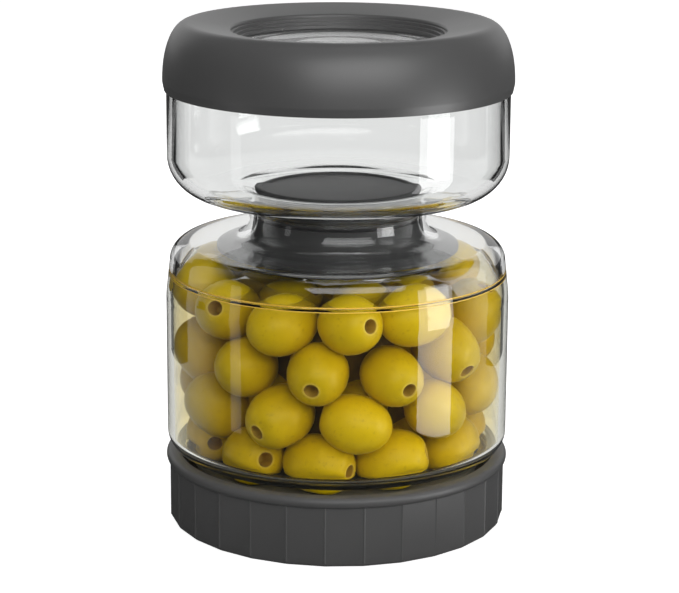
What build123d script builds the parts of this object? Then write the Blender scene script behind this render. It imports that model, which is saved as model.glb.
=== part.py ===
from build123d import *
from math import cos, sin, sqrt, tau
import os

# An hourglass jar of pickled olives. A one-piece glass has two round chambers joined by
# a narrow waist. A soft grey lid with a clear window presses over the upper rim, a
# faceted grey cap closes the lower end, and a grey stopper fills the waist.
# Millimetres. Z is up, and the origin is under the middle of the base cap.

# Glass: outer radii, heights from one turn to the next, rounds, and its wall
lower_radius = 50.1
upper_radius = 49.5
waist_radius = 25.8
finish_step = 6.1
shoulder_lean = 1.7
glass_wall = 2.4
finish_bottom = 4.0
finish_height = 17.6
lower_height = 63.0
lean_drop = 15.2
shoulder_fall = 1.4
waist_gap = 12.0
floor_rise = 1.3
upper_height = 40.6
finish_round = 0.7
heel_round = 5.2
lean_round = 26.0
shoulder_round = 5.6
waist_round = 5.6
corner_round = 11.6
rim_round = 0.9

# Base cap: faceted skirt, bead round its mouth, and the plug that closes the glass
cap_height = 20.5
cap_groove = 2.5
cap_skirt_wall = 3.0
cap_facets = 28
cap_turn = -93.6
cap_edge_round = 1.4
bead_overhang = 1.0
bead_thickness = 3.1
bead_round_share = 0.94
plug_drop = 2.0
plug_clearance = 0.3
plug_round = 1.2
foot_width = 11.5
foot_recess = 0.8

# Lid ring: soft rounded ring over the rim, with a stepped recess round its window
lid_clearance = 0.2
lid_wall = 0.9
lid_grip = 9.5
lid_belt = 3.0
lid_rise = 9.8
lid_edge_inset = 0.5
lid_edge_round = 2.4
lid_lip_width = 11.9
lid_lip_drop = 2.1
lid_lip_round = 0.8
lid_crest_flat = 0.8
lid_crest_round = 8.0
lid_tongue_wall = 2.4
lid_tongue_drop = 6.0
recess_steps = 3
recess_step = 0.7

# Lid window: clear disc held in a groove of the ring, with a shallow ring underneath
window_radius = 33.4
window_hold = 2.5
window_thickness = 2.4
window_ledge = 1.3
window_fit = 0.1
window_edge_round = 0.3
window_ring_radius = 20.0
window_ring_width = 1.0
window_ring_depth = 0.35

# Stopper: disc, ribbed neck and flared skirt in one soft piece
stopper_clearance = 0.25
disc_overlap = 1.0
disc_thickness = 2.9
disc_dish = 0.5
disc_lip = 1.5
disc_round = 0.8
neck_groove = 1.45
rib_count = 2
rib_width = 1.1
rib_pitch = 2.1
rib_round = 0.3
rib_lift = 1.2
skirt_reach = 12.0
skirt_edge = 1.3
skirt_round = 0.4

# Contents: brine up to its level, and a heap of pitted olives standing on the plug
headroom = 11.1
fill_gap = 0.1
olive_radius = 8.6
olive_gap = 0.6
olive_spacing = 18.2
heap_pitch = 12.35
heap_hollow = 3.6
heap_top_round = 5.0
heap_wander = 0.7
heap_swell = 0.4

finish_radius = lower_radius - finish_step
heel_height = finish_bottom + finish_height
crown_height = heel_height + lower_height
ceiling_height = crown_height + waist_gap
rim_height = ceiling_height + upper_height
plug_radius = finish_radius - glass_wall - plug_clearance
plug_height = cap_height - plug_drop
brine_level = crown_height - headroom


def turned(corners):
    """Turn a closed outline of (radius, height, rounding) corners about the axis."""
    points = [(radius, height) for radius, height, _ in corners]
    rounds = [rounding for _, _, rounding in corners]
    outline = FilletPolyline(*points, radius=rounds, close=True)
    return revolve(Plane.XZ * make_face(outline), Axis.Z)


def hourglass(inset, low, high):
    """The space inside the glass's outer surface, or inside that surface moved in."""
    shoulder_radius = lower_radius - shoulder_lean - inset
    return turned([
        (0, low, 0),
        (finish_radius - inset, low, 0),
        (finish_radius - inset, heel_height + inset, finish_round + inset),
        (lower_radius - inset, heel_height + inset, heel_round - inset),
        (lower_radius - inset, crown_height - shoulder_fall - lean_drop, lean_round - inset),
        (shoulder_radius, crown_height - shoulder_fall - inset, shoulder_round - inset),
        (waist_radius - inset, crown_height - inset, waist_round + inset),
        (waist_radius - inset, ceiling_height + inset, waist_round + inset),
        (upper_radius - inset, ceiling_height + floor_rise + inset, corner_round - inset),
        (upper_radius - inset, high, 0),
        (0, high, 0),
    ])


def glass_jar():
    """One blown piece: lower finish, two chambers and the waist, open at both ends."""
    outside = hourglass(0, finish_bottom, rim_height)
    inside = hourglass(glass_wall, finish_bottom - glass_wall, rim_height + glass_wall)
    glass = outside - inside
    return fillet(glass.edges().group_by(Axis.Z)[-1], rim_round)


def base_cap():
    """A cup with flats round its skirt, a bead at its mouth and a plug inside."""
    mouth_radius = finish_radius + cap_groove
    cap_radius = mouth_radius + cap_skirt_wall
    foot_radius = cap_radius - foot_width
    bead_low = cap_height - bead_thickness
    cup = turned([
        (0, foot_recess, 0),
        (foot_radius, foot_recess, foot_recess / 2),
        (foot_radius, 0, foot_recess / 4),
        (cap_radius, 0, cap_edge_round),
        (cap_radius, cap_height - bead_thickness / 2, 0),
        (mouth_radius, cap_height - bead_thickness / 2, 0),
        (mouth_radius, finish_bottom, 0),
        (plug_radius, finish_bottom, 0),
        (plug_radius, plug_height, plug_round),
        (0, plug_height, 0),
    ])
    flats = extrude(RegularPolygon(cap_radius, cap_facets, rotation=cap_turn), cap_height)
    roll = bead_thickness / 2 * bead_round_share
    bead = turned([
        (mouth_radius, bead_low, 0),
        (cap_radius + bead_overhang, bead_low, roll),
        (cap_radius + bead_overhang, cap_height, roll),
        (mouth_radius, cap_height, roll / 3),
    ])
    return (cup & flats) + bead


def lid_ring():
    """A soft ring that grips the rim inside and out and holds the window's edge."""
    sleeve = upper_radius + lid_clearance
    lid_radius = sleeve + lid_wall
    lip_radius = window_radius - window_hold
    crest_radius = lip_radius + lid_lip_width
    edge_height = rim_height - lid_grip
    belt_height = edge_height + lid_belt
    top_height = rim_height + lid_rise
    lip_height = top_height - lid_lip_drop
    tongue = upper_radius - glass_wall - lid_clearance
    window_low = rim_height + window_ledge
    window_high = window_low + window_thickness + window_fit
    groove = window_radius + window_fit

    skirt = FilletPolyline(
        (sleeve, edge_height),
        (lid_radius - lid_edge_inset, edge_height),
        (lid_radius, edge_height + lid_edge_round),
        (lid_radius, belt_height),
        radius=[lid_edge_inset / 3, lid_edge_round],
    )
    dome_radius = crest_radius + lid_crest_flat
    dome = EllipticalCenterArc(
        (dome_radius, belt_height), lid_radius - dome_radius, top_height - belt_height)
    recess = lip_height - window_high
    first_step = lip_height - recess / (recess_steps + 1)
    lip = FilletPolyline(
        (dome_radius, top_height),
        (crest_radius, top_height),
        (lip_radius, lip_height),
        (lip_radius, first_step),
        radius=[lid_crest_round, lid_lip_round],
    )

    inside = []
    for step in range(1, recess_steps + 1):
        height = lip_height - recess * step / (recess_steps + 1)
        outer = lip_radius - recess_step * (step - 1)
        inside += [(outer, height), (outer - recess_step, height)]
    sight = lip_radius - recess_step * recess_steps
    inside += [
        (sight, window_high),
        (groove, window_high),
        (groove, window_low),
        (sight, window_low),
        (sight, rim_height),
        (tongue - lid_tongue_wall, rim_height),
        (tongue - lid_tongue_wall, rim_height - lid_tongue_drop),
        (tongue, rim_height - lid_tongue_drop),
        (tongue, rim_height),
        (sleeve, rim_height),
        (sleeve, edge_height),
    ]
    section = make_face(Wire([*skirt.edges(), dome, *lip.edges(), *Polyline(*inside).edges()]))
    return revolve(Plane.XZ * section, Axis.Z)


def lid_window():
    """A clear disc with rounded edges and a shallow moulded ring underneath."""
    low = rim_height + window_ledge
    high = low + window_thickness
    ring_outer = window_ring_radius + window_ring_width
    return turned([
        (0, low, 0),
        (window_ring_radius, low, 0),
        (window_ring_radius, low + window_ring_depth, 0),
        (ring_outer, low + window_ring_depth, 0),
        (ring_outer, low, 0),
        (window_radius, low, window_edge_round),
        (window_radius, high, window_edge_round),
        (0, high, 0),
    ])


def round_centre(corner, far, rounding, side):
    """Centre of the round between the upright through a corner and a sloping line."""
    slope = (far[1] - corner[1]) / (far[0] - corner[0])
    lift = rounding * sqrt(1 + slope * slope)
    return corner[0] + rounding, corner[1] + slope * rounding + side * lift


def stopper():
    """A disc in the throat of the upper floor, a ribbed neck and a flared skirt."""
    bore = waist_radius - glass_wall
    throat = waist_round + glass_wall
    disc_radius = bore + disc_overlap
    floor = (bore, ceiling_height + glass_wall)
    wall = (upper_radius - glass_wall, ceiling_height + floor_rise + glass_wall)
    centre = round_centre(floor, wall, throat, -1)
    seat = centre[1] + sqrt(throat ** 2 - (centre[0] - disc_radius) ** 2) + stopper_clearance
    top = seat + disc_thickness

    inset = glass_wall + stopper_clearance
    neck = waist_radius - inset
    core = neck - neck_groove
    under = (neck, crown_height - inset)
    edge = (lower_radius - shoulder_lean - inset, crown_height - shoulder_fall - inset)
    slope = (edge[1] - under[1]) / (edge[0] - under[0])
    flare = waist_round + inset
    flare_top = round_centre(under, edge, flare, 1)[1]
    skirt_top = under[1] + slope * skirt_reach

    corners = [
        (0, top - disc_dish, 0),
        (disc_radius - disc_lip - disc_dish, top - disc_dish, disc_dish),
        (disc_radius - disc_lip, top, disc_dish),
        (disc_radius, top, disc_round),
        (disc_radius, seat, disc_round),
        (core, seat, 0),
    ]
    for rib in reversed(range(rib_count)):
        low = flare_top + rib_lift + rib * rib_pitch
        corners += [
            (core, low + rib_width, 0),
            (neck, low + rib_width, rib_round),
            (neck, low, rib_round),
            (core, low, 0),
        ]
    corners += [
        (core, flare_top + rib_round, 0),
        (neck, flare_top + rib_round, 0),
        (neck, under[1], flare),
        (neck + skirt_reach, skirt_top, skirt_round),
        (neck + skirt_reach, skirt_top - skirt_edge, skirt_round),
        (0, skirt_top - skirt_edge, 0),
    ]
    return turned(corners)


def ring_of_olives(reach, height, turn_shift):
    """Round lumps of uneven size, spread evenly on a circle and moved in here and there."""
    count = int(tau * reach / olive_spacing)
    lumps = []
    for place in range(count):
        turn = tau * (place + turn_shift) / count
        stray = abs(sin(2 * turn + 3 * turn_shift) * sin(5 * turn + turn_shift))
        away = reach - heap_wander * stray
        lump = Sphere(olive_radius - heap_swell * stray)
        lumps.append(Pos(away * cos(turn), away * sin(turn), height - heap_wander * stray) * lump)
    return lumps


def olives():
    """The whole heap as one solid, out to the uneven outline of its olives."""
    bore = lower_radius - glass_wall - olive_gap
    first = plug_height + olive_radius
    upper_rows = int((brine_level - first - olive_radius) / heap_pitch)
    top = first + heap_pitch * upper_rows
    narrow = plug_radius - olive_gap
    core = turned([
        (0, plug_height, 0),
        (narrow - heap_hollow, plug_height, 0),
        (narrow - heap_hollow, first, olive_radius / 2),
        (bore - heap_hollow - heap_wander, first + heap_pitch / 2, olive_radius / 2),
        (bore - heap_hollow - heap_wander, top + heap_hollow, heap_top_round),
        (0, top + heap_hollow, 0),
    ])
    lumps = ring_of_olives(narrow - olive_radius, first + heap_wander, 0)
    for row in range(1, upper_rows + 1):
        lumps += ring_of_olives(bore - olive_radius, first + heap_pitch * row, row / 2)
    lumps += ring_of_olives(bore - 3 * olive_radius, top, 1 / 3)
    lumps += [Pos(0, 0, top - heap_wander) * Sphere(olive_radius)]
    return core + lumps


def brine(heap):
    """The brine, up to its level and just short of the glass, cut round the heap."""
    full = hourglass(glass_wall + fill_gap, plug_height, rim_height)
    level = extrude(Circle(lower_radius), brine_level)
    return (full & level) - heap


heap = olives()
pieces = {
    "glass_jar": glass_jar(),
    "base_cap": base_cap(),
    "lid_ring": lid_ring(),
    "lid_window": lid_window(),
    "stopper": stopper(),
    "olives": heap,
    "brine": brine(heap),
}

os.makedirs("parts", exist_ok=True)
for node, solid in pieces.items():
    export_step(solid, f"parts/{node}.step")
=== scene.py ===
import random
from math import atan2, cos, pi, radians, sin, tan, tau

import bmesh
import bpy
import numpy as np
from mathutils import Matrix, Vector, noise


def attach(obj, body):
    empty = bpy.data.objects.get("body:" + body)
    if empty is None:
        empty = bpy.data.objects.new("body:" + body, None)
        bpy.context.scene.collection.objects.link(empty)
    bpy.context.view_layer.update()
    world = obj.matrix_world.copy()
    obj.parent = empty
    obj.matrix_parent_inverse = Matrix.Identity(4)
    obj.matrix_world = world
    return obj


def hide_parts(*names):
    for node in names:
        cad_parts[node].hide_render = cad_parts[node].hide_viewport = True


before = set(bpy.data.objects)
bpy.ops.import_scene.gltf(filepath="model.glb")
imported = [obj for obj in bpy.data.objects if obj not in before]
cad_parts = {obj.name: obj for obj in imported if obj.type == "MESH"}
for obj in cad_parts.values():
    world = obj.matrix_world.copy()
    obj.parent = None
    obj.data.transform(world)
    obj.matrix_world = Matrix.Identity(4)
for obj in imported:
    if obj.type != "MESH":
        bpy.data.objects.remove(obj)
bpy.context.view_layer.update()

# Camera. A long lens looks down at the jar from the front, with the very slight lean
# of a hand-levelled product shot.
mm = 0.001
look_at = Vector((0.62, 0, 66)) * mm
camera_distance = 703.24 * mm
camera_tilt = radians(14.23)
camera_roll = radians(0.35)
camera = bpy.data.objects.new("camera", bpy.data.cameras.new("camera"))
bpy.context.scene.collection.objects.link(camera)
camera.data.lens = 126.95
camera.data.sensor_width = 36
camera.data.clip_start = 0.05
camera.data.clip_end = 20
away = Vector((0, -cos(camera_tilt), sin(camera_tilt))) * camera_distance
camera.matrix_world = (Matrix.Translation(look_at + away)
                       @ Matrix.Rotation(pi / 2 - camera_tilt, 4, "X")
                       @ Matrix.Rotation(camera_roll, 4, "Z"))
bpy.context.scene.camera = camera
bpy.context.scene.view_settings.view_transform = "Standard"

# Glass jar. One piece of blown borosilicate glass: an upper and a lower chamber joined
# by a narrow waist, and a plain finish at the bottom that the cap takes. The fire leaves
# its rims round and its walls very slightly wavy.
lower_radius = 50.1
upper_radius = 49.5
waist_radius = 25.8
finish_radius = 44.0
shoulder_radius = 48.4
finish_bottom = 4.0
heel = 21.6
lean = 68.0
shoulder = 83.2
crown = 84.6
ceiling = 96.6
upper_floor = 97.9
rim = 137.2
wall = 2.4
roof_wall = 1.7
finish_round = 0.7
heel_round = 5.2
lean_round = 26.0
shoulder_round = 5.6
inner_shoulder_round = 4.2
waist_round = 5.6
floor_round = 11.6
rim_round = 0.9
whole = -1.0
weld = 0.001


def outline(corners, segments, closed):
    """A wire along (radius, height, rounding) corners. Whole rounds take up both sides."""
    shape = bmesh.new()
    verts = [shape.verts.new((radius * mm, 0, height * mm)) for radius, height, _ in corners]
    for first, second in zip(verts, verts[1:] + verts[:1] if closed else verts[1:]):
        shape.edges.new((first, second))
    rounds = []
    for place, (_, _, rounding) in enumerate(corners):
        before = verts[place - 1].co - verts[place].co
        after = verts[(place + 1) % len(verts)].co - verts[place].co
        if rounding > 0:
            turn = (pi - before.angle(after)) / 2
            rounds.append((verts[place], rounding * mm * tan(turn), "OFFSET"))
        elif rounding == whole:
            rounds.append((verts[place], 100.0, "PERCENT"))
    for vert, offset, kind in rounds:
        bmesh.ops.bevel(shape, geom=[vert], offset=offset, offset_type=kind, segments=segments,
                        affect="VERTICES", profile=0.5, material=-1)
    bmesh.ops.remove_doubles(shape, verts=shape.verts, dist=weld * mm)
    return shape


def turned(corners, segments=8, steps=160, closed=True):
    """The outline spun once round the jar's axis."""
    shape = outline(corners, segments, closed)
    bmesh.ops.spin(shape, geom=shape.verts[:] + shape.edges[:], cent=(0, 0, 0), axis=(0, 0, 1),
                   angle=tau, steps=steps, use_merge=True)
    bmesh.ops.remove_doubles(shape, verts=shape.verts, dist=weld * mm)
    bmesh.ops.recalc_face_normals(shape, faces=shape.faces)
    return shape


def piece(name, shape, material, sharp=35, replaces=None):
    """Makes a finished piece of a shape: smooth but for selected flats and hard edges."""
    mesh = bpy.data.meshes.new(name)
    for face in shape.faces:
        face.smooth = not face.select
    shape.to_mesh(mesh)
    shape.free()
    mesh.set_sharp_from_angle(angle=radians(sharp))
    made = bpy.data.objects.new(name, mesh)
    bpy.context.scene.collection.objects.link(made)
    mesh.materials.append(material)
    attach(made, "root")
    if replaces:
        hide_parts(replaces)


class Socket:
    """A node's output whose sums, differences, products and tests add Math nodes."""

    def __init__(self, finish, socket):
        self.finish = finish
        self.socket = socket

    def reckon(self, operation, first, second):
        return self.finish.node("Math", {"operation": operation}, {0: first, 1: second})

    def __add__(self, other):
        return self.reckon("ADD", self, other)

    __radd__ = __add__

    def __sub__(self, other):
        return self.reckon("SUBTRACT", self, other)

    def __rsub__(self, other):
        return self.reckon("SUBTRACT", other, self)

    def __mul__(self, other):
        return self.reckon("MULTIPLY", self, other)

    __rmul__ = __mul__

    def __gt__(self, other):
        return self.reckon("GREATER_THAN", self, other)


class Finish:
    """A procedural material: one main shader, and nodes that vary it over the surface."""

    def __init__(self, name, **settings):
        self.material = bpy.data.materials.new(name)
        self.material.use_nodes = True
        self.start(self.material.node_tree, "BsdfPrincipled", "OutputMaterial")
        for key, value in settings.items():
            self.feed(self.shader, {key.replace("_", " ").title().replace("Ior", "IOR"): value})

    def start(self, tree, shader, out):
        """Empties a tree of nodes and gives it its main shader and its output."""
        self.tree = tree
        self.tree.nodes.clear()
        self.shader = self.tree.nodes.new("ShaderNode" + shader)
        self.out = self.tree.nodes.new("ShaderNode" + out)
        self.feed(self.out, {0: self.shaded()})

    def shaded(self):
        return Socket(self, self.shader.outputs[0])

    def feed(self, node, sockets):
        for key, value in sockets.items():
            socket = node.inputs[key]
            if isinstance(value, Socket):
                self.tree.links.new(value.socket, socket)
            else:
                socket.default_value = value

    def node(self, kind, settings, sockets, output=0):
        added = self.tree.nodes.new("ShaderNode" + kind)
        for key, value in settings.items():
            if key == "stops":
                ramp = added.color_ramp
                while len(ramp.elements) < len(value):
                    ramp.elements.new(0.5)
                for stop, (position, colour) in zip(ramp.elements, value):
                    stop.position = position
                    stop.color = colour
            else:
                setattr(added, key, value)
        self.feed(added, sockets)
        return Socket(self, added.outputs[output])

    def noise(self, scale, detail, roughness=0.5):
        place = self.node("TexCoord", {}, {}, "Object")
        return self.node("TexNoise", {}, {"Vector": place, "Scale": scale, "Detail": detail,
                                          "Roughness": roughness})

    def ray(self, kind):
        """What the light path says of the ray that arrives."""
        return self.node("LightPath", {}, {}, kind)

    def mix(self, share, first, second):
        return self.node("Mix", {"data_type": "RGBA"}, {0: share, 6: first, 7: second}, 2)

    def ramp(self, value, stops):
        return self.node("ValToRGB", {"stops": stops}, {0: value})

    def bump(self, height, strength, distance):
        normal = self.node("Bump", {}, {"Height": height, "Strength": strength,
                                        "Distance": distance * mm})
        self.feed(self.shader, {"Normal": normal})

    def let_lamps_through(self, tint):
        """Light from the lamps passes clear glass or liquid without a hard shadow."""
        clear = self.node("BsdfTransparent", {}, {"Color": tint})
        both = self.node("MixShader", {}, {0: self.ray("Is Shadow Ray"), 1: self.shaded(),
                                           2: clear})
        self.feed(self.out, {0: both})


def grey(value):
    return (value, value, value, 1)


def hourglass(inset, roof, corner):
    """Corners of the glass's outer face, or of that face moved in by its wall and roof."""
    return [
        (finish_radius - inset, finish_bottom, 0),
        (finish_radius - inset, heel + inset, finish_round + inset),
        (lower_radius - inset, heel + inset, heel_round - inset),
        (lower_radius - inset, lean, lean_round - inset),
        (shoulder_radius - inset, shoulder - roof, corner),
        (waist_radius - inset, crown - roof, waist_round + inset),
        (waist_radius - inset, ceiling + inset, waist_round + inset),
        (upper_radius - inset, upper_floor + inset, floor_round - inset),
        (upper_radius - inset, rim, rim_round),
    ]


glass = Finish("clear_glass", base_color=(0.985, 0.992, 0.988, 1), roughness=0.0,
               transmission_weight=1.0, ior=1.47)
glass.bump(glass.noise(scale=18, detail=1.0), strength=0.06, distance=1.0)
glass.let_lamps_through(grey(0.95))
outer_face = hourglass(0, 0, shoulder_round)
inner_face = hourglass(wall, roof_wall, inner_shoulder_round)
piece("glass_wall", turned(outer_face + inner_face[::-1], segments=12, steps=192),
      glass.material, sharp=50, replaces="glass_jar")

# Base cap. Moulded dark grey plastic with 28 flats to grip, and a faint ridge between
# each two. A rolled bead runs round its mouth, and a raised plug inside closes the glass
# and carries the olives.
cap_radius = 49.5
cap_flats = 28
cap_turn = radians(-93.6)
cap_mouth = 46.5
cap_height = 20.5
skirt_height = 19.0
corner_bevel = 0.35
ridge = 0.2
ridge_bottom = 1.1
on_corner = 0.01
foot_bevel = 1.2
foot_radius = 38.0
foot_recess = 0.8
level_normal = 0.99
bead_radius = 50.5
bead_bottom = 17.4
bead_root = 0.6
bead_round = 1.457
mouth_round = 0.45
plug_radius = 41.3
plug_top = 18.5
plug_round = 1.2


def plastic(name, shade, roughness, grain, mirror=0.5, bloom=0.0):
    """Matt moulded plastic or rubber: a fine eroded grain and the faint unevenness of use."""
    made = Finish(name, specular_ior_level=mirror, sheen_weight=bloom, sheen_roughness=0.5)
    patches = made.noise(scale=34, detail=4.0)
    tone = made.mix(patches, grey(shade * 0.93), grey(shade * 1.08))
    made.feed(made.shader, {"Base Color": tone,
                            "Roughness": roughness + 0.12 * (patches - 0.5)})
    made.bump(made.noise(scale=grain, detail=2.0), strength=0.25, distance=0.05)
    return made


def new_verts(made):
    """The vertices among what an extrusion made."""
    return [v for v in made["geom"] if isinstance(v, bmesh.types.BMVert)]


def open_edges(shape, verts):
    """The open edges that run between these vertices."""
    return [e for e in shape.edges if e.is_boundary and set(e.verts) <= set(verts)]


cap_plastic = plastic("grey_cap", shade=0.078, roughness=0.45, grain=2600)
skirt = bmesh.new()
bmesh.ops.create_circle(skirt, cap_ends=True, segments=cap_flats, radius=cap_radius * mm,
                        matrix=Matrix.Rotation(cap_turn, 4, "Z"))
walls = bmesh.ops.extrude_face_region(skirt, geom=skirt.faces[:])
bmesh.ops.translate(skirt, vec=(0, 0, skirt_height * mm), verts=new_verts(walls))
upright = [e for e in skirt.edges if abs(e.verts[0].co.z - e.verts[1].co.z) > mm]
bmesh.ops.bevel(skirt, geom=upright, offset=corner_bevel * mm, offset_type="OFFSET", segments=2,
                affect="EDGES", profile=0.5, material=-1)
lowest = [e for e in skirt.edges if e.verts[0].co.z < mm and e.verts[1].co.z < mm]
bmesh.ops.bevel(skirt, geom=lowest, offset=foot_bevel * mm, offset_type="OFFSET", segments=4,
                affect="EDGES", profile=0.5, material=-1)
for vert in skirt.verts:
    corner = (atan2(vert.co.y, vert.co.x) - cap_turn) / tau * cap_flats
    if abs(corner - round(corner)) < on_corner and vert.co.z > ridge_bottom * mm:
        vert.co.xy *= 1 + ridge * mm / vert.co.xy.length
bmesh.ops.delete(skirt, geom=[f for f in skirt.faces if abs(f.normal.z) > level_normal],
                 context="FACES_ONLY")
underside = [e for e in skirt.edges if e.is_boundary and e.verts[0].co.z < mm]
foot_verts = new_verts(bmesh.ops.extrude_edge_only(skirt, edges=underside))
for vert in foot_verts:
    vert.co.xy = vert.co.xy.normalized() * foot_radius * mm
step = bmesh.ops.extrude_edge_only(skirt, edges=open_edges(skirt, foot_verts))
step_verts = new_verts(step)
bmesh.ops.translate(skirt, vec=(0, 0, foot_recess * mm), verts=step_verts)
bmesh.ops.contextual_create(skirt, geom=open_edges(skirt, step_verts))
bmesh.ops.recalc_face_normals(skirt, faces=skirt.faces)
for face in skirt.faces:
    face.select_set(True)
mouth = turned([
    (cap_radius - bead_root, bead_bottom, 0),
    (bead_radius, bead_bottom, bead_round),
    (bead_radius, cap_height, bead_round),
    (cap_mouth, cap_height, mouth_round),
    (cap_mouth, finish_bottom, 0),
    (plug_radius, finish_bottom, 0),
    (plug_radius, plug_top, plug_round),
    (0, plug_top, 0),
], closed=False)
mouth_mesh = bpy.data.meshes.new("mouth")
mouth.to_mesh(mouth_mesh)
mouth.free()
skirt.from_mesh(mouth_mesh)
piece("base_cap_moulding", skirt, cap_plastic.material, sharp=25, replaces="base_cap")

# Lid ring. Soft dark grey silicone, one thick rounded ring that grips the rim of the
# glass inside and out, and steps down to the clear window.
sleeve = 49.7
lid_radius = 50.6
lid_edge = 127.7
edge_inset = 0.5
edge_height = 2.4
edge_inner_round = 0.2
edge_outer_round = 2.3
belt = 130.7
lid_top = 147.0
dome_radius = 43.6
crest = 42.8
crest_round = 8.0
lip_radius = 30.9
lip_height = 144.9
lip_round = 0.8
recess_steps = 3
recess_step = 0.7
recess_drop = 0.975
step_round = 0.12
sight = 28.8
groove = 33.5
window_bottom = 138.5
window_top = 140.9
window_fit = 0.1
tongue_inside = 44.5
tongue_outside = 46.9
tongue_bottom = 131.2
tongue_round = 0.3
lid_rubber = plastic("grey_lid", shade=0.068, roughness=0.42, grain=2200, mirror=0.85, bloom=0.03)
steps_down = []
for count in range(recess_steps):
    height = lip_height - recess_drop * (count + 1)
    steps_down += [(lip_radius - recess_step * count, height, step_round),
                   (lip_radius - recess_step * (count + 1), height, step_round)]
piece("lid_ring_moulding", turned([
    (sleeve, lid_edge, 0),
    (lid_radius - edge_inset, lid_edge, edge_inner_round),
    (lid_radius, lid_edge + edge_height, edge_outer_round),
    (lid_radius, belt, 0),
    (lid_radius, lid_top, whole),
    (dome_radius, lid_top, 0),
    (crest, lid_top, crest_round),
    (lip_radius, lip_height, lip_round),
    *steps_down,
    (sight, window_top + window_fit, 0),
    (groove, window_top + window_fit, 0),
    (groove, window_bottom, 0),
    (sight, window_bottom, 0),
    (sight, rim, 0),
    (tongue_inside, rim, 0),
    (tongue_inside, tongue_bottom, tongue_round),
    (tongue_outside, tongue_bottom, tongue_round),
    (tongue_outside, rim, 0),
    (sleeve, rim, 0),
], segments=14), lid_rubber.material, sharp=40, replaces="lid_ring")

# Lid window. A clear moulded disc whose edge sits in the ring, with fine concentric
# rings moulded into its underside.
window_radius = 33.4
window_round = 0.3
window_rings = (12.0, 23.0)
ring_section = [(0, 0, 0.5), (0.5, 0.15, 0.3), (0.9, 0.15, 0.3), (1.4, 0, 0.5)]
window_finish = Finish("window", base_color=grey(0.96), roughness=0.0, transmission_weight=0.9,
                       ior=1.5)
window_finish.bump(window_finish.noise(scale=22, detail=1.0), strength=0.05, distance=0.6)
window_finish.let_lamps_through(grey(0.9))
underneath = [(0, window_bottom, 0)]
for radius in window_rings:
    underneath += [(radius + out, window_bottom + rise, rounding)
                   for out, rise, rounding in ring_section]
piece("lid_window_disc", turned([
    *underneath,
    (window_radius, window_bottom, window_round),
    (window_radius, window_top, window_round),
    (0, window_top, 0),
], segments=3, closed=False), window_finish.material, sharp=50, replaces="lid_window")

# Stopper. One piece of dark grey silicone: a dished disc over the throat, a ribbed neck
# that seals the waist, and a flared skirt under the shoulder.
disc_radius = 24.4
disc_top = 98.45
disc_seat = 95.55
disc_round = 0.8
disc_dish = 0.5
disc_lip = 1.5
disc_lip_round = 0.3
core_radius = 21.7
neck_radius = 23.15
neck_top = 90.5
neck_foot = 81.95
neck_round = 8.25
rib_tops = (94.6, 92.5)
rib_width = 1.1
rib_round = 0.3
flare_radius = 35.15
flare_top = 81.2
flare_bottom = 79.9
flare_round = 0.4
stopper_rubber = plastic("grey_stopper", shade=0.036, roughness=0.42, grain=2400, mirror=0.2)
ribs = []
for top in rib_tops:
    ribs += [(core_radius, top, 0), (neck_radius, top, rib_round),
             (neck_radius, top - rib_width, rib_round), (core_radius, top - rib_width, 0)]
piece("stopper_moulding", turned([
    (0, disc_top - disc_dish, 0),
    (disc_radius - disc_lip - disc_dish, disc_top - disc_dish, disc_dish),
    (disc_radius - disc_lip, disc_top, disc_lip_round),
    (disc_radius, disc_top, disc_round),
    (disc_radius, disc_seat, disc_round),
    (core_radius, disc_seat, 0),
    *ribs,
    (core_radius, neck_top, 0),
    (neck_radius, neck_top, 0),
    (neck_radius, neck_foot, neck_round),
    (flare_radius, flare_top, flare_round),
    (flare_radius, flare_bottom, flare_round),
    (0, flare_bottom, 0),
], closed=False), stopper_rubber.material, sharp=40, replaces="stopper")

# Olives. Pitted green table olives, cured and wet, packed by hand: a soft skin over pale
# flesh, with the round hole that the pitter leaves at one end. Over seventy lie against
# the glass and on each other, over a core painted dark brown as shade, which hardly shows.
olive_thick = 8.55
olive_end = 7.3
olive_half = 10.3
hole_radius = 2.15
hole_depth = 5.4
# how much narrower than its mouth the hole is, how deep, and the rounding
hole_section = [(0, 0.35, 0.6), (0.35, 2.6, 0), (0.8, 5.0, 0.8)]
hole_reach = 2.2
hole_share = 0.93
in_the_hole = 2.0
lip_start = 1.7
lip_fade = 1.6
dents = ((0.035, 120), (0.012, 420))
most_bend = 0.35
# turn and height on the glass, and the way the hole looks: turn and lift, in degrees
front_olives = [
    (-23.7, 65.7, 130, 10), (5.8, 66.1, 38, 9), (-40.5, 51.7, 160, -12), (-10.0, 52.3, -11, -15),
    (23.9, 52.2, 30, -12), (-24.2, 40.0, -42, -16), (7.4, 39.6, -98, 12), (44.6, 40.6, 150, -32),
    (52.8, 56.9, 42, -30), (31.2, 68.8, 128, 4), (-51.7, 65.8, -18, 16), (-80.2, 53.1, 70, -60),
    (-68.7, 40.1, 110, -55), (-96.0, 42.5, -6, 12), (-88.0, 26.2, 2, -4),
    (-50.0, 25.8, 22, 8), (-10.2, 25.7, 58, -4), (28.2, 25.8, 84, 14), (86.6, 60.4, 60, 62),
    (80.0, 43.5, 172, 30), (65.0, 26.2, 150, 10), (96.0, 27.0, 190, 10),
    (105.0, 52.0, 240, 40), (-86.0, 66.0, 150, -20),
]
back_rows = [
    (27.5, [124, 153, 183, 213, 243]),
    (40.0, [110, 141, 172, 203, 234]),
    (52.0, [134, 163, 192, 222, 251]),
    (64.5, [113, 140, 167, 194, 221, 248]),
]
inner_rows = [(28.0, 0), (40.5, 25), (52.5, 50), (64.0, 12)]
inner_count = 6
lowest_row = 30
side_turn = 60
front_reach = 37.5
side_reach = 39.2
low_reach = 36.0
back_reach = 37.5
back_low_reach = 32.5
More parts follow.
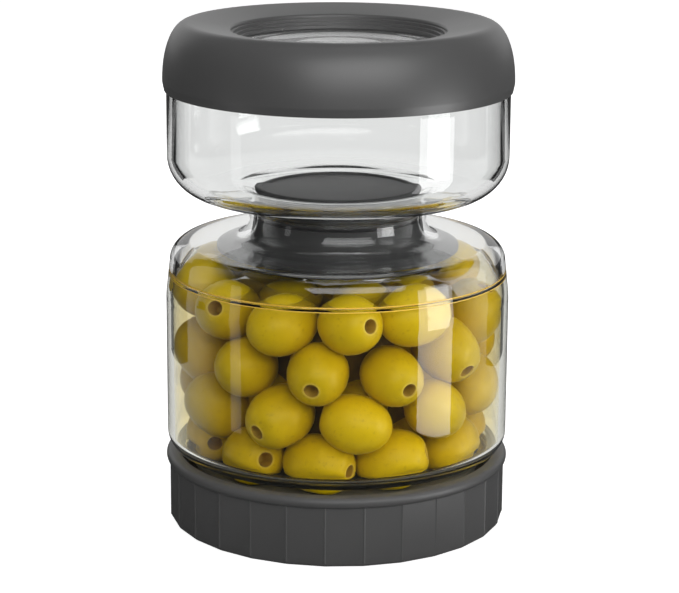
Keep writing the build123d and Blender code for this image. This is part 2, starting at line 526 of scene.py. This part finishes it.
inner_reach = 19.5
middle_reach = 1.0
held = 0.12
stray_turn = 3
stray_height = 1
back_lift = 50
inner_lift = 40
smallest = 0.965
largest = 1.03
settling_steps = 400
longest_step = 0.8
touch = 0.25
nearest = 0.1
give = 0.35
sinking = 0.012
outward = 0.02
outer_ring = 30
olive_inset = 0.25
low_squash = 2.2
plug_squash = 0.8
heap_top = 78.6
girth_slants = (-1.2, -0.8, -0.4, 0.0, 0.4)
bore = lower_radius - wall
finish_bore = finish_radius - wall
inner_heel = heel + wall
inner_heel_round = 2.8
olive_bore = 41.5
olive_bore_growth = 6.0
olive_lift = 0.1


def inside_radius(height):
    """Inner radius of the glass at a height, as the olives' ends meet it."""
    if height < inner_heel:
        return finish_bore
    if height < inner_heel + inner_heel_round:
        rise = 1 - (height - heel - wall) / inner_heel_round
        return bore - inner_heel_round * (1 - (1 - rise * rise) ** 0.5)
    return bore


def placed_olives():
    """Where each olive starts, the way it points, how freely it moves, and its size."""
    draw = random.Random(41)
    places, ways, holds = [], [], []

    def add(reach, turn, height, way_turn, lift, hold):
        turn, way_turn, lift = radians(turn), radians(way_turn), radians(lift)
        places.append((reach * sin(turn), -reach * cos(turn), height))
        ways.append((cos(lift) * sin(way_turn), -cos(lift) * cos(way_turn), sin(lift)))
        holds.append(hold)

    for turn, height, way_turn, lift in front_olives:
        reach = side_reach if abs(turn) > side_turn else front_reach
        add(reach if height > lowest_row else low_reach, turn, height, way_turn, lift, held)
    for height, turns in back_rows:
        for turn in turns:
            add(back_reach if height > lowest_row else back_low_reach,
                turn + draw.uniform(-stray_turn, stray_turn),
                height + draw.uniform(-stray_height, stray_height), draw.uniform(0, 360),
                draw.uniform(-back_lift, back_lift), 1)
    for height, shift in inner_rows:
        for place in range(inner_count):
            add(inner_reach, 360 / inner_count * place + shift,
                height + draw.uniform(-stray_height, stray_height), draw.uniform(0, 360),
                draw.uniform(-inner_lift, inner_lift), 1)
        add(middle_reach, shift, height + stray_height, draw.uniform(0, 360),
            draw.uniform(-inner_lift, inner_lift), 1)
    sizes = [draw.uniform(smallest, largest) for _ in places]
    return np.array(places), np.array(ways), np.array(holds), np.array(sizes)


def heap_of_olives():
    """Places, directions and sizes of all olives, pushed apart and kept in the glass."""
    at, way, hold, size = placed_olives()
    reach = np.array([-1.0, 0.0, 1.0]) * (olive_half - olive_end)
    radius = np.array([olive_end, olive_thick, olive_end])[None, :] * size[:, None]
    offsets = way[:, None, :] * (reach[None, :, None] * size[:, None, None])
    share = hold[:, None] / (hold[:, None] + hold[None, :])
    for _ in range(settling_steps):
        push = np.zeros_like(at)
        balls = at[:, None, :] + offsets
        for one in range(3):
            for two in range(3):
                apart = balls[:, None, one] - balls[None, :, two]
                gap = np.linalg.norm(apart, axis=2)
                np.fill_diagonal(gap, np.inf)
                lack = np.maximum(radius[:, None, one] + radius[None, :, two] - gap - touch, 0)
                push += ((apart / np.maximum(gap, nearest)[:, :, None])
                         * (lack * share * give)[:, :, None]).sum(axis=1)
        push[:, 2] -= sinking * (hold > held)
        spread = np.linalg.norm(at[:, :2], axis=1, keepdims=True)
        push[:, :2] += at[:, :2] / np.maximum(spread, 1.0) * outward * (spread > outer_ring)
        at = at + np.clip(push, -longest_step, longest_step)
        balls = at[:, None, :] + offsets
        for number in range(len(at)):
            for ball, thick in zip(balls[number], radius[number]):
                room = min(inside_radius(ball[2] + thick * sin(slant)) - thick * cos(slant)
                           for slant in girth_slants) - olive_inset
                if ball[2] < lowest_row:
                    room += low_squash
                from_axis = (ball[0] ** 2 + ball[1] ** 2) ** 0.5
                if from_axis > room:
                    at[number, :2] -= ball[:2] / from_axis * (from_axis - room)
                at[number, 2] += max(plug_top - plug_squash + thick - ball[2], 0)
                at[number, 2] -= max(ball[2] + thick - heap_top, 0)
    return at, way, size


def one_olive():
    """A single olive along Z, its hole at the top, in a mesh of its own."""
    hole = [(hole_radius - narrower, olive_half - depth, rounding)
            for narrower, depth, rounding in hole_section]
    olive = turned([
        (0, -olive_half, 0),
        (olive_thick, -olive_half, whole),
        (olive_thick, 0, 0),
        (olive_thick, hole[0][1], whole),
        *hole,
        (0, olive_half - hole_depth, 0),
    ], segments=9, steps=26, closed=False)
    mesh = bpy.data.meshes.new("one_olive")
    olive.to_mesh(mesh)
    olive.free()
    return mesh


def all_olives():
    """Copies of the one olive, each bent and dented a little its own way."""
    single = one_olive()
    draw = random.Random(7)
    heap = bmesh.new()
    ripeness = heap.verts.layers.float.new("ripeness")
    pit = heap.verts.layers.float.new("pit")
    for place, way, size in zip(*heap_of_olives()):
        start = len(heap.verts)
        heap.from_mesh(single)
        heap.verts.ensure_lookup_table()
        tone = draw.random()
        seed = Vector((draw.uniform(0, 90), draw.uniform(0, 90), draw.uniform(0, 90)))
        stretch = draw.uniform(0.97, 1.04)
        bend = draw.uniform(-most_bend, most_bend)
        spin = draw.uniform(0, tau)
        aim = Vector(way).to_track_quat("Z", "Y").to_matrix() @ Matrix.Rotation(spin, 3, "Z")
        for vert in heap.verts[start:]:
            along = vert.co.z / (olive_half * mm)
            aside = vert.co.xy.length / mm
            vert[ripeness] = tone
            vert[pit] = max(0.0, 1 - max(0.0, aside - lip_start) / lip_fade) * (along > 0)
            if aside < hole_reach and 0 < along < hole_share:
                vert[pit] = in_the_hole
            swell = 1.0
            for depth, scale in dents:
                swell += depth * noise.noise(vert.co * scale + seed)
            vert.co.xy *= swell
            vert.co.x += bend * (1 - along * along) * mm
            vert.co.z *= stretch
            vert.co = aim @ (vert.co * size) + Vector(place) * mm
            height = max(vert.co.z / mm, plug_top + olive_lift)
            rise = min(max((height - heel - wall) / inner_heel_round, 0.0), 1.0)
            limit = olive_bore + olive_bore_growth * rise
            vert.co.xy *= min(1.0, limit * mm / vert.co.xy.length)
            vert.co.z = height * mm
    return heap


olive_flesh = Finish("olive_flesh", ior=1.36, coat_roughness=0.2, sheen_weight=0.5,
                     sheen_roughness=0.15, sheen_tint=(1.0, 0.9, 0.35, 1),
                     specular_tint=(1.0, 0.86, 0.4, 1))
ripe = olive_flesh.node("Attribute", {"attribute_name": "ripeness"}, {}, "Fac")
hollow = olive_flesh.node("Attribute", {"attribute_name": "pit"}, {}, "Fac")
blotch = olive_flesh.noise(scale=95, detail=4.0, roughness=0.6)
speckle = olive_flesh.noise(scale=900, detail=2.0)
skin = olive_flesh.mix(ripe * 0.55 + blotch * 0.5, (0.42, 0.295, 0.0, 1), (0.62, 0.435, 0.0, 1))
freckles = olive_flesh.ramp(speckle, [(0.60, grey(0)), (0.75, grey(0.35))])
skin = olive_flesh.mix(freckles, skin, (0.20, 0.13, 0.0, 1))
lip = olive_flesh.ramp(hollow, [(0.3, grey(0)), (0.9, grey(0.65)), (1.0, grey(0.65))])
skin = olive_flesh.mix(lip, skin, (0.72, 0.56, 0.14, 1))
# Inside the pit hole the colour turns a darker brown: painted shade in the hollow.
hole_shade = olive_flesh.ramp(hollow - 1.0, [(0.0, grey(0)), (1.0, grey(1))])
skin = olive_flesh.mix(hole_shade, skin, (0.36, 0.22, 0.03, 1))
olive_flesh.feed(olive_flesh.shader, {"Base Color": skin, "Roughness": 0.34 + 0.14 * blotch,
                                      "Coat Weight": 0.08 + 0.1 * blotch})
olive_flesh.bump(blotch * 0.7 + speckle * 0.3, strength=0.18, distance=0.25)
piece("olives_pitted", all_olives(), olive_flesh.material, sharp=60,
      replaces="olives")

# The core is painted dark brown: painted shade for the depths of the heap, seen only between the
# olives.
core_bottom = 20.5
core_top = 62.5
core_low_radius = 25.0
core_low_round = 6.0
core_top_radius = 27.0
core_top_round = 5.0
shaded_core = Finish("olive_core_painted_shade", roughness=0.6)
core_painted_shade = shaded_core.mix(shaded_core.noise(scale=60, detail=3.0), (0.07, 0.04, 0.004, 1),
                           (0.16, 0.10, 0.006, 1))
shaded_core.feed(shaded_core.shader, {"Base Color": core_painted_shade})
shaded_core.bump(shaded_core.noise(scale=160, detail=3.0), strength=0.5, distance=0.8)
piece("olives_core", turned([
    (0, core_bottom, 0),
    (core_low_radius, core_bottom, core_low_round),
    (core_top_radius, core_top, core_top_round),
    (0, core_top, 0),
], steps=48, closed=False), shaded_core.material)

# Brine. Clear, faintly golden salt water up to a little under the shoulder. It creeps
# up the glass at its edge, and is made a hair wider than the bore, so no air shows.
brine_lift = 0.05
brine_bottom = plug_top + brine_lift
brine_level = 73.5
creep = 1.3
into_wall = 0.3
brine_density = 22.0
skin_gap = 0.02
skin_thickness = 0.3
skin_edge = 0.25
skin_hollow = 1.4
skin_hollow_round = 2.0
glint_outside = 0.1
glint_inside = 0.16
glint_half = 0.13
brine_water = Finish("brine", base_color=(1.0, 1.0, 0.96, 1), roughness=0.0,
                     transmission_weight=1.0, ior=1.01)
brine_water.let_lamps_through(grey(1))
golden = brine_water.node("VolumeAbsorption", {}, {"Color": (1.0, 0.82, 0.08, 1),
                                                   "Density": brine_density})
brine_water.feed(brine_water.out, {"Volume": golden})
piece("brine_liquid", turned([
    (0, brine_bottom, 0),
    (finish_bore + into_wall, brine_bottom, 0),
    (finish_bore + into_wall, inner_heel - into_wall, finish_round + wall - into_wall),
    (bore + into_wall, inner_heel - into_wall, inner_heel_round + into_wall),
    (bore + into_wall, brine_level, 0),
    (0, brine_level, 0),
], segments=6, steps=192, closed=False), brine_water.material, sharp=70,
      replaces="brine")

brine_top = Finish("brine_surface", base_color=(1.0, 0.98, 0.9, 1), roughness=0.0,
                   transmission_weight=1.0, ior=1.33)
brine_top.bump(brine_top.noise(scale=40, detail=1.0), strength=0.1, distance=0.4)
brine_top.let_lamps_through(grey(1))
piece("brine_skin", turned([
    (0, brine_level + skin_gap, 0),
    (bore + into_wall, brine_level + skin_gap, 0),
    (bore + into_wall, brine_level + creep, 0),
    (bore - skin_edge, brine_level + creep, 0),
    (bore - skin_hollow, brine_level + skin_thickness, skin_hollow_round),
    (0, brine_level + skin_thickness, 0),
], segments=6, steps=192, closed=False), brine_top.material, sharp=70)

# Two thin orange-gold rings, at the brine's level and at the top of its creep, are painted
# glints: they stand for the light that the meniscus catches.
painted_glint = Finish("brine_painted_glint", base_color=(0.95, 0.62, 0.10, 1), roughness=0.25)
for name, height in (("brine_glint_low", brine_level), ("brine_glint_high", brine_level + creep)):
    piece(name, turned([
        (bore + glint_outside, height - glint_half, 0),
        (bore + glint_outside, height + glint_half, 0),
        (bore - glint_inside, height, 0),
    ], steps=192), painted_glint.material, sharp=70)

# Studio. A white sweep under four soft lamps. Black cards behind at both sides draw the
# glass's edges, and gloss alone mirrors a bright card behind and two low strips in front.
# A view that was mirrored on its way through the glass finds white only behind the jar.
ambient = 0.25
white_through = 0.8
white_mirrored = 0.07
behind_start = -0.1
behind_end = 0.35
glass_bounces = 40


class Sky(Finish):
    """The light from all round, made of nodes as a finish is."""

    def __init__(self, name):
        world = bpy.data.worlds.new(name)
        world.use_nodes = True
        bpy.context.scene.world = world
        self.start(world.node_tree, "Background", "OutputWorld")

    def choose(self, condition, otherwise, then):
        return self.node("Mix", {"data_type": "FLOAT"}, {0: condition, 2: otherwise, 3: then})


sky = Sky("studio")
way = sky.node("TexCoord", {}, {}, "Generated")
backward = sky.node("SeparateXYZ", {}, {0: way}, 1)
behind = sky.node("MapRange", {"interpolation_type": "SMOOTHSTEP"}, {
    0: backward, 1: behind_start, 2: behind_end, 3: 0.0, 4: white_through})
clear_view = sky.choose(sky.ray("Glossy Depth") > 0.5, white_through, behind)
seen = (sky.ray("Is Camera Ray") + sky.ray("Is Glossy Ray") * white_mirrored
        + sky.ray("Is Transmission Ray") * clear_view)
strength = sky.choose(sky.ray("Diffuse Depth") > 0.5, seen, ambient)
sky.feed(sky.shader, {"Color": grey(1), "Strength": strength})


def flat_card(name, width, height, place, facing, material, seen_by):
    """A flat card of the studio, facing a point, that only some kinds of rays see."""
    shape = bmesh.new()
    bmesh.ops.create_grid(shape, x_segments=1, y_segments=1, size=0.5)
    bmesh.ops.scale(shape, vec=(width, height, 1), verts=shape.verts)
    mesh = bpy.data.meshes.new(name)
    shape.to_mesh(mesh)
    shape.free()
    card = bpy.data.objects.new(name, mesh)
    bpy.context.scene.collection.objects.link(card)
    card.location = place
    card.rotation_euler = (Vector(facing) - Vector(place)).to_track_quat("Z", "Y").to_euler()
    mesh.materials.append(material)
    card.visible_camera = "camera" in seen_by
    card.visible_diffuse = "diffuse" in seen_by
    card.visible_glossy = "glossy" in seen_by
    card.visible_transmission = "transmission" in seen_by
    card.visible_shadow = "shadow" in seen_by


def glow(name, strength):
    made = Finish(name, base_color=grey(0), specular_ior_level=0.0, emission_color=grey(1),
                  emission_strength=strength)
    return made.material


def lamp(name, power, width, height, place, target, mirrored=False, through=True):
    """A soft rectangular lamp that points at a target."""
    light = bpy.data.lights.new(name, "AREA")
    light.shape = "RECTANGLE"
    light.size = width
    light.size_y = height
    light.energy = power
    made = bpy.data.objects.new(name, light)
    bpy.context.scene.collection.objects.link(made)
    made.location = place
    made.rotation_euler = (Vector(target) - Vector(place)).to_track_quat("-Z", "Y").to_euler()
    made.visible_glossy = mirrored
    made.visible_transmission = through


floor_paint = Finish("floor_paint", base_color=grey(0.5), roughness=0.9, specular_ior_level=0.0)
floor_glow = floor_paint.node("Emission", {}, {
    "Color": grey(1), "Strength": floor_paint.ray("Is Camera Ray") * 0.9})
floor_both = floor_paint.node("AddShader", {}, {0: floor_paint.shaded(), 1: floor_glow})
floor_paint.feed(floor_paint.out, {0: floor_both})
flat_card("floor", width=6, height=6, place=(0, 0, -0.0002), facing=(0, 0, 1),
          material=floor_paint.material, seen_by=("camera", "diffuse", "shadow"))

black = Finish("black_card", base_color=grey(0.0), roughness=1.0, specular_ior_level=0.0)
for side, name in ((-1, "card_left"), (1, "card_right")):
    flat_card(name, width=0.184, height=0.6, place=(side * 0.25, 0.22, 0.26),
              facing=(0, 0, 0.26), material=black.material, seen_by=("transmission",))
flat_card("back_glow", width=2.2, height=0.6, place=(0, 1.0, 0.42), facing=(0, 0, 0.1),
          material=glow("back_glow", 0.8), seen_by=("glossy",))
flat_card("strip_right", width=0.096, height=0.125, place=(0.193, -0.107, 0.035),
          facing=(0.029, -0.041, 0.035), material=glow("strip_right", 5.0), seen_by=("glossy",))
flat_card("strip_left", width=0.03, height=0.125, place=(-0.20, -0.10, 0.035),
          facing=(0, 0, 0.035), material=glow("strip_left", 1.2), seen_by=("glossy",))

lamp("lamp_top", power=2.0, width=0.5, height=0.35, place=(0.05, -0.08, 0.75),
     target=(0, 0, 0.12))
lamp("lamp_key", power=4.3, width=1.0, height=0.5, place=(0.18, -0.72, 0.50),
     target=(0, 0, 0.08), mirrored=True)
lamp("lamp_right", power=2.7, width=0.3, height=0.5, place=(0.88, -0.3, 0.10),
     target=(0, 0, 0.04))
lamp("lamp_back", power=3.0, width=0.5, height=0.4, place=(-0.2, 0.75, 0.42),
     target=(0, 0, 0.08), through=False)
bpy.context.scene.cycles.max_bounces = glass_bounces
bpy.context.scene.cycles.transmission_bounces = glass_bounces
